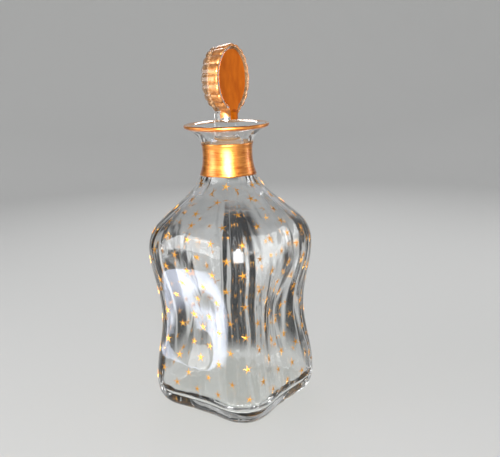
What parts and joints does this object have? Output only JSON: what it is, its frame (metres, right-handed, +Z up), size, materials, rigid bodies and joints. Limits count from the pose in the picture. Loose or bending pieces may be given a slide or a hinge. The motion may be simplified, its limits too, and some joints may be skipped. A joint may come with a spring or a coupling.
{
  "type": "decanter",
  "caption": "Square pinched glass decanter with round shoulders, a trumpet lip, a gilded neck and a lift-out disc stopper with a gilded face.",
  "frame": {"origin": "middle of the underside, on the surface that the decanter stands on", "axes": "+Z up through the neck; the four pinched sides face +X, +Y, -X and -Y"},
  "size_m": [0.098, 0.098, 0.2504],
  "materials": {
    "clear_glass": "clear, fire polished",
    "fired_gold": "satin, burnished"
  },
  "bodies": {
    "bottle": {"glass_bottle": "clear_glass", "neck_gilt_band": "fired_gold", "lip_gilt_ring": "fired_gold"},
    "stopper": {"glass_stopper": "clear_glass", "stopper_face_gilding": "fired_gold", "stopper_rim_gilding": "fired_gold"}
  },
  "joints": [
    {"name": "stopper_lift", "type": "slide", "parent": "bottle", "child": "stopper", "axis": [0, 0, 1], "range_m": [0, 0.07]}
  ]
}
